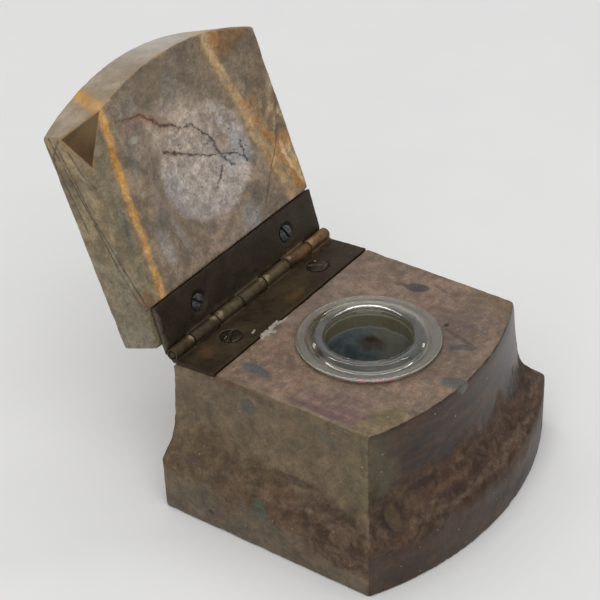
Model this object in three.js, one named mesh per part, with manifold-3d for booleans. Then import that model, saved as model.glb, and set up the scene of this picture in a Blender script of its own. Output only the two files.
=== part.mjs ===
// Stone inkwell: flared stone base, glass ink cup, and a thick stone lid on a brass butt hinge.
// Millimetres, +Z up, the curved front faces -Y.
// The origin is the centre of the base's footprint, on its underside.
import * as THREE from 'three';
import { mergeVertices } from 'three/addons/utils/BufferGeometryUtils.js';
import Module from 'manifold-3d';

// ---- driving dimensions ----
const HALF_WIDTH = 31.75;        // half the width of the base's top, and half the hinge's length
const BACK_Y = 34.75;            // back face at the foot
const BACK_LEAN = 1.35;          // how far the back leans out on its way up to the top
const ARC_CENTRE_Y = 46.4;       // the curved fronts share this centre
const FRONT_RADIUS = 72.6;       // front curve of the base's top
const BASE_TOP = 39;
const SIDE_FLARE = 8.15;         // how far the plinth stands out at each side
const FRONT_FLARE = 8.5;         // and at the front
const COVE = [                   // [height, side flare] up the hollow wall, from the plinth's top edge
  [14, 8.15], [14.9, 7.2], [16.4, 5.6], [18, 4.1], [19.6, 2.95], [21.4, 2.15], [24.1, 1.6],
  [27.3, 1.15], [30.4, 0.78], [33.5, 0.52], [36.5, 0.33], [39, 0],
];

const GAP = 0.3;                 // clearance left between neighbouring pieces
const HINGE_Y = 36.4;            // hinge axis, parallel to X
const HINGE_Z = 39.3;
const OPEN_ANGLE = THREE.MathUtils.degToRad(110.7);

const LID_LEFT = -33.5;
const LID_RIGHT = 31.7;
const LID_BACK = 34.0;
const LID_UNDERSIDE = 39.6;      // heights and places on the lid are given with the lid shut
const LID_TOP = 52.4;
const LID_ARC_BELOW = { x: -1, front: -27.4, radius: 80 };   // front curve of the underside
const LID_ARC_ABOVE = { x: -2, front: -28.1, radius: 74 };   // and of the top
const LID_EDGE_SOFTENING = 0.4;
const DISH_RADIUS = 18.8;        // shallow dish in the lid's underside that clears the glass rim
const DISH_DEPTH = 3.2;

const LEAF_FRONT = 23.9;
const LEAF_THICKNESS = 1.0;
const LEAF_PROUD = 0.1;          // the leaf's front edge stands this far above the stone
const LEAF_TILT = 0.078;         // the rebates deepen towards the hinge, in radians
const BARREL_RADIUS = 1.6;
const PIN_RADIUS = 0.75;
const KNUCKLE_SEAMS = [-31.75, -24.1, -14.5, -4.9, 4.8, 14.4, 23.8, 31.75];

const SCREW_X = [-17, 19];
const SCREW_Y = 30.1;
const HEAD_RADIUS = 2.7;
const SUNK_HEAD_RADIUS = 2.3;    // the lid's screws sit deeper in their countersinks
const SHANK_RADIUS = 1.3;
const PLUG_RADIUS = 2.7;

const CUP_X = -1.0;              // centre of the glass cup
const CUP_Y = 1.4;
const FLANGE_RADIUS = 17.5;
const MOUTH_RADIUS = 10.6;
const CUP_OUTER_RADIUS = 13;
const CUP_BOTTOM = 13;
const WELL_RADIUS = 14.4;
const WELL_BOTTOM = 12.4;

const wasm = await Module();
wasm.setup();

const group = new THREE.Group();
group.name = 'stone_inkwell';

// ---- helpers ----
function solidOf(geometry) {
  const bare = geometry.clone();
  bare.deleteAttribute('normal');
  bare.deleteAttribute('uv');
  const merged = mergeVertices(bare, 1e-5);
  const vertProperties = new Float32Array(merged.attributes.position.array);
  const triVerts = new Uint32Array(merged.index.array);
  return new wasm.Manifold(new wasm.Mesh({ numProp: 3, vertProperties, triVerts }));
}

function geometryOf(solid) {
  const mesh = solid.getMesh();
  const geometry = new THREE.BufferGeometry();
  geometry.setAttribute('position', new THREE.BufferAttribute(new Float32Array(mesh.vertProperties), 3));
  geometry.setIndex(new THREE.BufferAttribute(new Uint32Array(mesh.triVerts), 1));
  geometry.computeVertexNormals();
  return geometry;
}

function cut(solid, ...tools) {
  return tools.reduce((left, tool) => left.subtract(tool), solid);
}

function join(first, ...others) {
  return others.reduce((left, other) => left.add(other), first);
}

function swingOpen(geometry) {
  geometry.translate(0, -HINGE_Y, -HINGE_Z);
  geometry.rotateX(-OPEN_ANGLE);
  geometry.translate(0, HINGE_Y, HINGE_Z);
  return geometry;
}

// Turns a shape made for the base into its partner on the shut lid.
function mirrorToLid(geometry) {
  const position = geometry.attributes.position;
  for (let i = 0; i < position.count; i += 1) {
    position.setZ(i, 2 * HINGE_Z - position.getZ(i));
  }
  const index = geometry.index;
  for (let i = 0; i < index.count; i += 3) {
    const second = index.getX(i + 1);
    index.setX(i + 1, index.getX(i + 2));
    index.setX(i + 2, second);
  }
  geometry.computeVertexNormals();
  return geometry;
}

function place(name, geometry, color, roughness, metalness) {
  const material = new THREE.MeshStandardMaterial({ color, roughness, metalness });
  const mesh = new THREE.Mesh(geometry, material);
  mesh.name = name;
  group.add(mesh);
}

// A plan with straight back and sides and a curved front, at one height, counter-clockwise.
function planRing(left, right, back, arcX, arcY, radius, z) {
  const steps = 28;
  const start = Math.asin((left - arcX) / radius);
  const end = Math.asin((right - arcX) / radius);
  const ring = [];
  for (let i = 0; i <= steps; i += 1) {
    const angle = start + (end - start) * i / steps;
    ring.push([arcX + radius * Math.sin(angle), arcY - radius * Math.cos(angle), z]);
  }
  ring.push([right, back, z]);
  ring.push([left, back, z]);
  return ring;
}

// Joins rings of equal length, bottom to top, into a closed body with flat ends.
function loft(rings) {
  const count = rings[0].length;
  const points = rings.flat(2);
  const faces = [];
  for (let level = 0; level + 1 < rings.length; level += 1) {
    for (let i = 0; i < count; i += 1) {
      const next = (i + 1) % count;
      const a = level * count + i;
      const b = level * count + next;
      faces.push(a, b, b + count);
      faces.push(a, b + count, a + count);
    }
  }
  const topStart = (rings.length - 1) * count;
  for (let i = 1; i + 1 < count; i += 1) {
    faces.push(0, i + 1, i);
    faces.push(topStart, topStart + i, topStart + i + 1);
  }
  const geometry = new THREE.BufferGeometry();
  geometry.setAttribute('position', new THREE.Float32BufferAttribute(points, 3));
  geometry.setIndex(faces);
  return geometry;
}

// A turned body on a vertical axis from [radius, height] pairs.
function turned(profile, x, y, segments) {
  const points = profile.map(([radius, height]) => new THREE.Vector2(radius, height));
  const geometry = new THREE.LatheGeometry(points, segments);
  geometry.rotateX(Math.PI / 2);
  geometry.translate(x, y, 0);
  return geometry;
}

function upright(radius, bottom, top, x, y, segments = 32) {
  return solidOf(turned([[0, bottom], [radius, bottom], [radius, top], [0, top]], x, y, segments));
}

function alongHinge(radius, from, to, segments = 32) {
  const geometry = new THREE.CylinderGeometry(radius, radius, to - from, segments);
  geometry.rotateZ(Math.PI / 2);
  geometry.translate((from + to) / 2, HINGE_Y, HINGE_Z);
  return solidOf(geometry);
}

function block(x0, x1, y0, y1, z0, z1) {
  const geometry = new THREE.BoxGeometry(x1 - x0, y1 - y0, z1 - z0);
  geometry.translate((x0 + x1) / 2, (y0 + y1) / 2, (z0 + z1) / 2);
  return solidOf(geometry);
}

// Height of the base leaf's upper face at a given depth.
function leafFace(y) {
  return BASE_TOP + LEAF_PROUD - (y - LEAF_FRONT) * Math.tan(LEAF_TILT);
}

// A slab that follows the leaf's slope between two depths.
function slopedSlab(x0, x1, y0, y1, aboveFace, belowFace) {
  const corner = (x, y, offset) => [x, y, leafFace(y) + offset];
  const bottom = [corner(x0, y0, -belowFace), corner(x1, y0, -belowFace),
    corner(x1, y1, -belowFace), corner(x0, y1, -belowFace)];
  const top = [corner(x0, y0, aboveFace), corner(x1, y0, aboveFace),
    corner(x1, y1, aboveFace), corner(x0, y1, aboveFace)];
  return solidOf(loft([bottom, top]));
}

// ---- stone base ----
const baseRings = [[0, SIDE_FLARE], ...COVE].map(([z, flare]) => {
  const half = HALF_WIDTH + flare;
  const back = BACK_Y + BACK_LEAN * z / BASE_TOP;
  const radius = FRONT_RADIUS + FRONT_FLARE * flare / SIDE_FLARE;
  return planRing(-half, half, back, 0, ARC_CENTRE_Y, radius, z);
});

// Rebate for a hinge leaf: it runs out at both sides and at the back.
function leafRebate() {
  return slopedSlab(-50, 50, LEAF_FRONT - GAP, 50, 8, LEAF_THICKNESS + GAP);
}

// Moves a solid made at the origin so that its XY plane becomes the leaf's upper face.
function onLeaf(solid, x) {
  const geometry = geometryOf(solid);
  geometry.rotateX(-LEAF_TILT);
  geometry.translate(x, SCREW_Y, leafFace(SCREW_Y));
  return geometry;
}

const plugTop = -LEAF_THICKNESS - 2 * GAP;
const plugBottom = plugTop - 7.5;

function plugHole(x) {
  return solidOf(onLeaf(upright(PLUG_RADIUS + GAP, plugBottom - GAP, 5, 0, 0), x));
}

const well = upright(WELL_RADIUS, WELL_BOTTOM, BASE_TOP + 5, CUP_X, CUP_Y, 48);
const stoneBase = cut(solidOf(loft(baseRings)), well, leafRebate(), ...SCREW_X.map(plugHole));
place('stone_base', geometryOf(stoneBase), 0x7b6a5e, 0.5, 0);

// ---- hinge ----
const knuckles = KNUCKLE_SEAMS.slice(0, -1).map((from, i) => [from, KNUCKLE_SEAMS[i + 1]]);

// One leaf with the knuckles of the given parity, cleared for the other leaf's knuckles.
function hingeLeaf(parity) {
  let leaf = slopedSlab(-HALF_WIDTH, HALF_WIDTH, LEAF_FRONT, HINGE_Y, 0, LEAF_THICKNESS);
  knuckles.forEach(([from, to], i) => {
    if (i % 2 === parity) {
      leaf = join(leaf, alongHinge(BARREL_RADIUS, from, to));
      return;
    }
    const reach = BARREL_RADIUS;             // clear, because the leaf runs below the axis
    const x0 = i === 0 ? from - 1 : from - GAP;
    const x1 = i === knuckles.length - 1 ? to + 1 : to + GAP;
    leaf = cut(leaf, block(x0, x1, HINGE_Y - reach, HINGE_Y + reach, HINGE_Z - 5, HINGE_Z + 5));
  });
  const bore = alongHinge(PIN_RADIUS + GAP, -HALF_WIDTH - 2, HALF_WIDTH + 2);
  const profile = [[0, -3], [SHANK_RADIUS + GAP, -3], [SHANK_RADIUS + GAP, -0.95],
    [HEAD_RADIUS + GAP, -0.05], [HEAD_RADIUS + GAP, 2], [0, 2]];
  const screwHoles = SCREW_X.map((x) => solidOf(onLeaf(solidOf(turned(profile, 0, 0, 32)), x)));
  return geometryOf(cut(leaf, bore, ...screwHoles));
}

place('base_hinge_leaf', hingeLeaf(0), 0x5a4d38, 0.5, 1);
place('lid_hinge_leaf', swingOpen(mirrorToLid(hingeLeaf(1))), 0x3a3128, 0.5, 1);

const pinHalf = HALF_WIDTH - 0.2;
const pin = alongHinge(PIN_RADIUS, -pinHalf, pinHalf, 24);
place('hinge_pin', geometryOf(pin), 0x6b5a3c, 0.45, 1);

// ---- screws and the wooden plugs they bite in ----
function screw(x, headRadius, rim, slotAngle, slotWidth, slotDepth) {
  const tip = -7.2;
  const crown = rim + 0.25;
  const profile = [[0, tip], [0.45, tip + 0.6], [SHANK_RADIUS, tip + 2.2], [SHANK_RADIUS, -0.95],
    [headRadius, rim], [headRadius * 0.62, rim + 0.18], [0, crown]];
  const slot = new THREE.BoxGeometry(HEAD_RADIUS * 3, slotWidth, 2 * slotDepth);
  slot.rotateZ(slotAngle);
  slot.translate(0, 0, crown);
  return onLeaf(cut(solidOf(turned(profile, 0, 0, 32)), solidOf(slot)), x);
}

function plug(x) {
  const bore = upright(SHANK_RADIUS + GAP, plugTop - 6.6, plugTop + 1, 0, 0, 24);
  return onLeaf(cut(upright(PLUG_RADIUS, plugBottom, plugTop, 0, 0), bore), x);
}

const SIDES = ['left', 'right'];
const BASE_SLOT_ANGLES = [0.5, 2.1];
const LID_SLOT_ANGLES = [0.75, 1.1];
SCREW_X.forEach((x, i) => {
  const flush = screw(x, HEAD_RADIUS, 0, BASE_SLOT_ANGLES[i], 0.5, 0.4);
  const sunk = screw(x, SUNK_HEAD_RADIUS, -0.3, LID_SLOT_ANGLES[i], 0.55, 0.75);
  place(`base_screw_${SIDES[i]}`, flush, 0x5f543f, 0.5, 1);
  place(`lid_screw_${SIDES[i]}`, swingOpen(mirrorToLid(sunk)), 0x55524c, 0.4, 1);
  place(`base_plug_${SIDES[i]}`, plug(x), 0x8a6a45, 0.8, 0);
  place(`lid_plug_${SIDES[i]}`, swingOpen(mirrorToLid(plug(x))), 0x8a6a45, 0.8, 0);
});

// ---- glass cup and its bedding ----
const seat = BASE_TOP + GAP;
const cupProfile = [
  [0, CUP_BOTTOM],
  [CUP_OUTER_RADIUS - 2, CUP_BOTTOM],
  [CUP_OUTER_RADIUS - 0.5, CUP_BOTTOM + 0.6],
  [CUP_OUTER_RADIUS, CUP_BOTTOM + 2],
  [CUP_OUTER_RADIUS, seat],
  [FLANGE_RADIUS - 0.35, seat],
  [FLANGE_RADIUS, seat + 0.25],
  [FLANGE_RADIUS - 0.15, seat + 0.5],
  [FLANGE_RADIUS - 0.7, seat + 0.72],
  [14.9, seat + 0.8],
  [14.2, seat + 0.95],
  [13.5, seat + 1.35],
  [12.8, seat + 1.65],
  [12.1, seat + 1.75],
  [11.4, seat + 1.6],
  [10.9, seat + 1.25],
  [MOUTH_RADIUS, seat + 0.6],
  [MOUTH_RADIUS, CUP_BOTTOM + 7],
  [MOUTH_RADIUS - 0.6, CUP_BOTTOM + 4.8],
  [MOUTH_RADIUS - 2.6, CUP_BOTTOM + 3.2],
  [0, CUP_BOTTOM + 2.8],
];
place('glass_ink_cup', geometryOf(solidOf(turned(cupProfile, CUP_X, CUP_Y, 64))), 0xb9c4bd, 0.1, 0);

const beddingInner = CUP_OUTER_RADIUS + GAP;
const beddingOuter = WELL_RADIUS - GAP;
const beddingProfile = [[beddingInner, 21], [beddingOuter, 21], [beddingOuter, BASE_TOP - 0.1],
  [beddingInner, BASE_TOP - 0.1], [beddingInner, 21]];
place('plaster_bedding', geometryOf(solidOf(turned(beddingProfile, CUP_X, CUP_Y, 48))), 0xcfc8ba, 0.9, 0);

// ---- stone lid ----
function lidRing(arc, inset, z) {
  return planRing(LID_LEFT + inset, LID_RIGHT - inset, LID_BACK - inset, arc.x,
    arc.front + arc.radius, arc.radius - inset, z);
}

const lidBlank = loft([lidRing(LID_ARC_BELOW, 0, LID_UNDERSIDE),
  lidRing(LID_ARC_ABOVE, 0, LID_TOP - LID_EDGE_SOFTENING),
  lidRing(LID_ARC_ABOVE, LID_EDGE_SOFTENING, LID_TOP)]);

const dishSphere = (DISH_RADIUS ** 2 + DISH_DEPTH ** 2) / (2 * DISH_DEPTH);
const dishProfile = [[0, LID_UNDERSIDE - 1], [DISH_RADIUS, LID_UNDERSIDE - 1]];
const dishSteps = 8;
for (let i = 0; i < dishSteps; i += 1) {
  const radius = DISH_RADIUS * (1 - i / dishSteps);
  const height = LID_UNDERSIDE + DISH_DEPTH - dishSphere + Math.sqrt(dishSphere ** 2 - radius ** 2);
  dishProfile.push([radius, height]);
}
dishProfile.push([0, LID_UNDERSIDE + DISH_DEPTH]);
const dish = solidOf(turned(dishProfile, CUP_X, CUP_Y, 48));

// Broken corner: a four-sided wedge whose inner face is the fracture.
const CHIP_ALONG_FRONT = [-25.5, -23.56];  // where the fracture leaves the underside's front edge
const CHIP_ALONG_SIDE = -13.5;             // where it leaves the underside's left edge
const CHIP_HEIGHT = 6.5;                   // how far it climbs the corner
function chipWedge() {
  const [cornerX, cornerY] = lidRing(LID_ARC_BELOW, 0, LID_UNDERSIDE)[0];
  const corner = new THREE.Vector3(cornerX, cornerY, LID_UNDERSIDE);
  const front = new THREE.Vector3(...CHIP_ALONG_FRONT, LID_UNDERSIDE);
  const side = new THREE.Vector3(LID_LEFT, CHIP_ALONG_SIDE, LID_UNDERSIDE);
  const rise = new THREE.Vector3(corner.x, corner.y, LID_UNDERSIDE + CHIP_HEIGHT);
  const normal = new THREE.Vector3().crossVectors(side.clone().sub(front), rise.clone().sub(front));
  normal.normalize();
  if (normal.dot(corner.clone().sub(front)) < 0) {
    normal.negate();
  }
  const tool = new THREE.BoxGeometry(40, 40, 20);
  tool.translate(0, 0, 10);
  const turn = new THREE.Quaternion().setFromUnitVectors(new THREE.Vector3(0, 0, 1), normal);
  tool.applyQuaternion(turn);
  tool.translate(front.x, front.y, front.z);
  return solidOf(tool);
}

const lidRebate = solidOf(mirrorToLid(geometryOf(leafRebate())));
const lidPlugHoles = SCREW_X.map((x) => solidOf(mirrorToLid(geometryOf(plugHole(x)))));
const stoneLid = cut(solidOf(lidBlank), dish, lidRebate, chipWedge(), ...lidPlugHoles);
place('stone_lid', swingOpen(geometryOf(stoneLid)), 0x7d7060, 0.5, 0);

export default group;
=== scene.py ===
"""Stone inkwell with a brass-hinged lid, standing open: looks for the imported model.

Blender works in metres. The constants, profiles and tables of marks below are in millimetres.
"""

import math

import bmesh
import bpy
import numpy as np
from mathutils import Matrix, Vector, noise
from mathutils.bvhtree import BVHTree


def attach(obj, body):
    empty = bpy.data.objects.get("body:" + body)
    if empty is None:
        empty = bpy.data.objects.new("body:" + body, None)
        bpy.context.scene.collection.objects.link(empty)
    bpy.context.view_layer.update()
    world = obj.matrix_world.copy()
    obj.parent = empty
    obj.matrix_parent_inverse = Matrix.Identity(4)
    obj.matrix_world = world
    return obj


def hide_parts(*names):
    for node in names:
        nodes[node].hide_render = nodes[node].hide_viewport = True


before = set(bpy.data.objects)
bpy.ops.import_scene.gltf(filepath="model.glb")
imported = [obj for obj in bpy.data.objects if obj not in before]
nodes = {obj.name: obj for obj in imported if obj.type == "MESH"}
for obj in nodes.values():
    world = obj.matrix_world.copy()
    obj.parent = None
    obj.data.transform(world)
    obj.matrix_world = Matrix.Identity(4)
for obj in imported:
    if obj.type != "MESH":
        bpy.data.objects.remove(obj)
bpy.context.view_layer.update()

MM = 0.001

# Places on the model, in millimetres. Places on the lid are given with the lid shut.
HINGE = Vector((0, 36.4, 39.3)) * MM
OPEN_ANGLE = math.radians(110.7)
BASE_TOP = 39.0
LID_UNDERSIDE = 39.6
CUP_CENTRE = (-1.0, 1.4)
CHIP_POINTS = ((-25.5, -23.56, 39.6), (-33.5, -13.5, 39.6), (-33.5, -20.5, 46.1))
CHIP_CORNER = (-33.5, -20.5, 39.6)      # the corner that broke away
CHIP_MEETING = (0.38, 0.38, 0.24)       # the chip's deepest place, as shares of its corners
CHIP_DEPTH = 1.3
KNUCKLE_SEAMS = (-31.75, -24.1, -14.5, -4.9, 4.8, 14.4, 23.8, 31.75)
BARREL_RADIUS = 1.6
SCREW_X = (-17, 19)
SCREW_Y = 30.1
SEAT = BASE_TOP + 0.3                   # underside of the glass flange
VEIN_REACH = 36                         # veins are drawn for x from minus this to plus this

# How much light each area gets, against the base's top, so that colours can be given as they show.
TOP_LIGHT = 1.0                         # the base's top
SIDE_LIGHT = 0.70                       # faces on the left
FRONT_LIGHT = 0.92                      # front wall
CRUST_LIGHT = 0.78                      # cove
LID_LIGHT = 0.78                        # underside of the open lid
DISH_LIGHT = 0.68                       # the dish in it

WORN_BRASS_AND_HIGHLIGHT = (0.34, 0.27, 0.15)              # bare brass on the corners of the knuckles, and a painted highlight on their tops

CAMERA_PLACE = (-0.3267, -0.2165, 0.3211)
CAMERA_AIM = Vector((0.66506, 0.48524, -0.56765))
CAMERA_ROLL = math.radians(-1.69)
CAMERA_LENS = 122.6

LID_OPEN = (
    Matrix.Translation(HINGE)
    @ Matrix.Rotation(-OPEN_ANGLE, 4, "X")
    @ Matrix.Translation(-HINGE)
)
UPRIGHT = Matrix.Identity(4)


# ---------------------------------------------------------------- mesh helpers
def linked(name, data):
    """A new object in the scene."""
    obj = bpy.data.objects.new(name, data)
    bpy.context.scene.collection.objects.link(obj)
    return obj


def piece_from(name, vertices, faces, matrix=UPRIGHT):
    """A new smooth-shaded object from plain vertices and faces."""
    mesh = bpy.data.meshes.new(name)
    mesh.from_pydata([tuple(v) for v in vertices], [], [tuple(f) for f in faces])
    mesh.validate()
    mesh.update()
    mesh.shade_smooth()
    obj = linked(name, mesh)
    obj.matrix_world = matrix
    return obj


def rows_of(items, field, width=3, kind=float):
    """An array with a row for each vertex or edge."""
    flat = np.empty(len(items) * width, dtype=kind)
    items.foreach_get(field, flat)
    return flat.reshape(-1, width)


def store_points(mesh, points):
    mesh.vertices.foreach_set("co", points.ravel())
    mesh.update()


def relaxed(points, edges, rounds, strength=0.6):
    """The points after each has moved towards the mean of its neighbours."""
    count = np.bincount(edges.ravel(), minlength=len(points))[:, None]
    result = points.copy()
    for _ in range(rounds):
        total = np.zeros_like(result)
        np.add.at(total, edges[:, 0], result[edges[:, 1]])
        np.add.at(total, edges[:, 1], result[edges[:, 0]])
        result += strength * (total / np.maximum(count, 1) - result)
    return result


def noise_field(points, feature, seed, octaves=1):
    """Smooth noise between about -1 and 1, with features about that many metres across."""
    shift = Vector((seed * 7.31, seed * 3.17, seed * 5.71))
    values = np.empty(len(points))
    for i, point in enumerate(points):
        place = Vector(point) / feature + shift
        if octaves > 1:
            values[i] = noise.fractal(place, 1.0, 2.0, octaves)
        else:
            values[i] = noise.noise(place)
    return values


def worn_copy(node, name, voxel, seed, matrix=UPRIGHT, wear=1.0, shape=None, extra=()):
    """A dense copy of a CAD node with softened, slightly chipped edges.

    The copy is made in the frame given by matrix, so a tilted part is meshed square to itself.
    shape, if given, moves the points further: it takes and returns an array in that frame.
    extra is a list of (vertices, faces) bodies in that frame to melt into the copy.
    """
    source = nodes[node].data.copy()
    source.transform(matrix.inverted())
    for vertices, faces in extra:
        joined = bmesh.new()
        joined.from_mesh(source)
        added = [joined.verts.new(v) for v in vertices]
        for face in faces:
            joined.faces.new([added[i] for i in face])
        joined.to_mesh(source)
        joined.free()
    tree = BVHTree.FromPolygons(
        [v.co.copy() for v in source.vertices],
        [tuple(p.vertices) for p in source.polygons],
    )
    obj = linked(name, source)
    remesh = obj.modifiers.new("even", "REMESH")
    remesh.mode = "VOXEL"
    remesh.voxel_size = voxel
    graph = bpy.context.evaluated_depsgraph_get()
    dense = bpy.data.meshes.new_from_object(obj.evaluated_get(graph))
    obj.modifiers.clear()
    obj.data = dense
    dense.name = name

    points = rows_of(dense.vertices, "co")
    for i, point in enumerate(points):
        near = tree.find_nearest(Vector(point))[0]
        if near is not None:
            points[i] = near
    edges = rows_of(dense.edges, "vertices", 2, np.int64)
    soft = relaxed(points, edges, 3)
    softer = relaxed(soft, edges, 8)
    near_edge = np.linalg.norm(softer - points, axis=1) > voxel * 0.08
    amount = np.zeros(len(points))
    patch = noise_field(points[near_edge], 4 * MM, seed, 3)
    amount[near_edge] = np.clip(0.15 + 0.9 * patch, 0, 1) * wear
    points = np.where(near_edge[:, None], soft, points)
    points += amount[:, None] * (softer - points)
    store_points(dense, points)
    if shape is not None:
        store_points(dense, shape(points, rows_of(dense.vertices, "normal")))
    dense.shade_smooth()
    obj.matrix_world = matrix
    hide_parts(node)
    return obj


def catmull(points, steps):
    """A smooth line through points, as an array."""
    anchors = [np.array(p, dtype=float) for p in points]
    padded = [2 * anchors[0] - anchors[1], *anchors, 2 * anchors[-1] - anchors[-2]]
    line = []
    for a, b, c, d in zip(padded, padded[1:], padded[2:], padded[3:]):
        for step in range(steps):
            t = step / steps
            square = (2 * a - 5 * b + 4 * c - d) * t**2
            cube = (3 * b - a - 3 * c + d) * t**3
            line.append(0.5 * (2 * b + (c - a) * t + square + cube))
    line.append(anchors[-1])
    return np.array(line)


def turned(name, profile, centre, segments):
    """A body turned about a vertical axis, from (radius, height) pairs in millimetres."""
    vertices = []
    faces = []
    rows = []
    for radius, height in profile:
        if radius < 1e-6:
            rows.append([len(vertices)] * segments)
            vertices.append((centre[0] * MM, centre[1] * MM, height * MM))
            continue
        rows.append(list(range(len(vertices), len(vertices) + segments)))
        for i in range(segments):
            angle = 2 * math.pi * i / segments
            x = centre[0] + radius * math.cos(angle)
            y = centre[1] + radius * math.sin(angle)
            vertices.append((x * MM, y * MM, height * MM))
    for low, high in zip(rows, rows[1:]):
        for i in range(segments):
            j = (i + 1) % segments
            corners = [low[i], low[j], high[j], high[i]]
            face = list(dict.fromkeys(corners))
            if len(face) > 2:
                faces.append(face)
    return piece_from(name, vertices, faces)


# ---------------------------------------------------------------- material helpers
class Look:
    """A material being built, with short calls for the nodes it needs."""

    def __init__(self, name):
        self.material = bpy.data.materials.new(name)
        self.material.use_nodes = True
        self.tree = self.material.node_tree
        self.surface = self.tree.nodes["Principled BSDF"]
        place = self.node("TexCoord", {})
        scaled = self.node("VectorMath", {0: place.outputs["Object"], "Scale": 1000}, operation="SCALE")
        self.mm = scaled.outputs[0]
        self.x, self.y, self.z = self.split(self.mm)
        self.nx, self.ny, self.nz = self.split(place.outputs["Normal"])
        self.warped = self.loose = self.nudged = self.mm

    def put(self, socket, value):
        if isinstance(value, bpy.types.NodeSocket):
            self.tree.links.new(value, socket)
        elif value is not None:
            socket.default_value = value

    def node(self, kind, sockets, **settings):
        """A new node with its own settings, and values or links for its sockets."""
        made = self.tree.nodes.new("ShaderNode" + kind)
        for name, value in settings.items():
            setattr(made, name, value)
        for name, value in sockets.items():
            self.put(made.inputs[name], value)
        return made

    def math(self, operation, a, b=None):
        return self.node("Math", {0: a, 1: b}, operation=operation).outputs[0]

    def product(self, first, *others):
        for other in others:
            first = self.math("MULTIPLY", first, other)
        return first

    def vector(self, operation, a, b=None, output=0):
        return self.node("VectorMath", {0: a, 1: b}, operation=operation).outputs[output]

    def split(self, vector):
        return tuple(self.node("SeparateXYZ", {0: vector}).outputs)

    def join(self, x, y, z):
        return self.node("CombineXYZ", {0: x, 1: y, 2: z}).outputs[0]

    def stretched(self, scale, turn=(0, 0, 0), shift=(0, 0, 0), source=None):
        """The place in millimetres, scaled, turned and shifted."""
        sockets = {"Vector": source or self.mm, "Scale": scale, "Rotation": turn, "Location": shift}
        return self.node("Mapping", sockets).outputs[0]

    def noise(self, size, detail=3, roughness=0.5, distortion=0.0, source=None, color=False):
        """Noise from 0 to 1 with features about size millimetres across."""
        sockets = {
            "Vector": source or self.mm,
            "Scale": 1 / size,
            "Detail": detail,
            "Roughness": roughness,
            "Distortion": distortion,
        }
        return self.node("TexNoise", sockets).outputs["Color" if color else "Fac"]

    def push(self, size, detail=4, roughness=0.6):
        """Vectors around zero, for bending places by."""
        return self.vector("SUBTRACT", self.noise(size, detail, roughness, color=True), (0.5, 0.5, 0.5))

    def bent(self, push, reach, source=None):
        """The place in millimetres, pushed about by up to half of reach."""
        return self.vector("ADD", source or self.mm, self.stretched((reach, reach, reach), source=push))

    def bend_places(self, size, reach):
        """Sets warped, loose and nudged: the place pushed about far, less far and a little."""
        push = self.push(size, 4, 0.6)
        self.warped = self.bent(push, reach)
        self.loose = self.bent(push, reach / 2)
        self.nudged = self.bent(push, 1.6)

    def sway(self, size, detail, roughness, reach):
        """A number that wanders around zero, by up to half of reach."""
        return self.product(self.math("SUBTRACT", self.noise(size, detail, roughness), 0.5), reach)

    def cells(self, size, feature="F1", source=None):
        """Distance to the nearest cell centre or edge, in cells about size millimetres across."""
        sockets = {"Vector": source or self.mm, "Scale": 1 / size}
        return self.node("TexVoronoi", sockets, feature=feature).outputs["Distance"]

    def span(self, value, low, high, out_low=0.0, out_high=1.0, smooth=True):
        """Maps value from low..high to out_low..out_high, clamped."""
        sockets = {"Value": value, "From Min": low, "From Max": high, "To Min": out_low, "To Max": out_high}
        kind = "SMOOTHSTEP" if smooth else "LINEAR"
        return self.node("MapRange", sockets, interpolation_type=kind).outputs["Result"]

    def mix(self, amount, a, b, mode="MIX"):
        """Mixes two colours."""
        a, b = ((*color, 1) if isinstance(color, tuple) else color for color in (a, b))
        return self.node("Mix", {"Factor": amount, 6: a, 7: b}, data_type="RGBA", blend_type=mode).outputs[2]

    def paint(self, color, shade, *amounts):
        """The colour with a shade laid over it, as strongly as the amounts multiplied together."""
        return self.mix(self.product(*amounts), color, shade)

    def blend(self, amount, a, b):
        """Mixes two numbers."""
        return self.node("Mix", {"Factor": amount, 2: a, 3: b}, data_type="FLOAT").outputs[0]

    def curve(self, value, points):
        """A smooth curve through (in, out) pairs between 0 and 1."""
        node = self.node("FloatCurve", {"Value": value})
        line = node.mapping.curves[0]
        line.points[0].location = points[0]
        line.points[-1].location = points[-1]
        for point in points[1:-1]:
            line.points.new(*point)
        node.mapping.update()
        return node.outputs[0]

    def spot(self, centre, radii, turn=0.0, source=None, soft=0.25):
        """1 inside an ellipsoid turned about the upright axis, falling to 0 outside it."""
        sockets = {"Vector": source or self.mm, "Location": centre, "Rotation": (0, 0, turn), "Scale": radii}
        placed = self.node("Mapping", sockets, vector_type="TEXTURE").outputs[0]
        far = self.vector("LENGTH", placed, output=1)
        return self.span(far, 1 + soft, 1 - soft)

    def spots(self, color, rows, source, soft, light=None):
        """Lays (centre, radii, turn, shade, amount) ovals over a colour, one after another.

        With a light, shades are 0-255 values as they show. Without it they are linear colours.
        """
        for centre, radii, turn, shade, amount in rows:
            inside = self.spot(centre, radii, turn, source, soft)
            if light:
                shade = tone(*shade, light)
            color = self.paint(color, shade, inside, amount)
        return color

    def far_from(self, start, end, source=None):
        """Distance on the XY plane from the straight line between two points."""
        flat = self.vector("MULTIPLY", source or self.mm, (1, 1, 0))
        step = Vector((end[0] - start[0], end[1] - start[1], 0))
        away = self.vector("SUBTRACT", flat, (start[0], start[1], 0))
        reach = self.vector("DOT_PRODUCT", away, tuple(step / step.length_squared), output=1)
        reach = self.math("MINIMUM", self.math("MAXIMUM", reach, 0), 1)
        nearest = self.node("VectorMath", {0: tuple(step), "Scale": reach}, operation="SCALE").outputs[0]
        return self.vector("LENGTH", self.vector("SUBTRACT", away, nearest), output=1)

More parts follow.
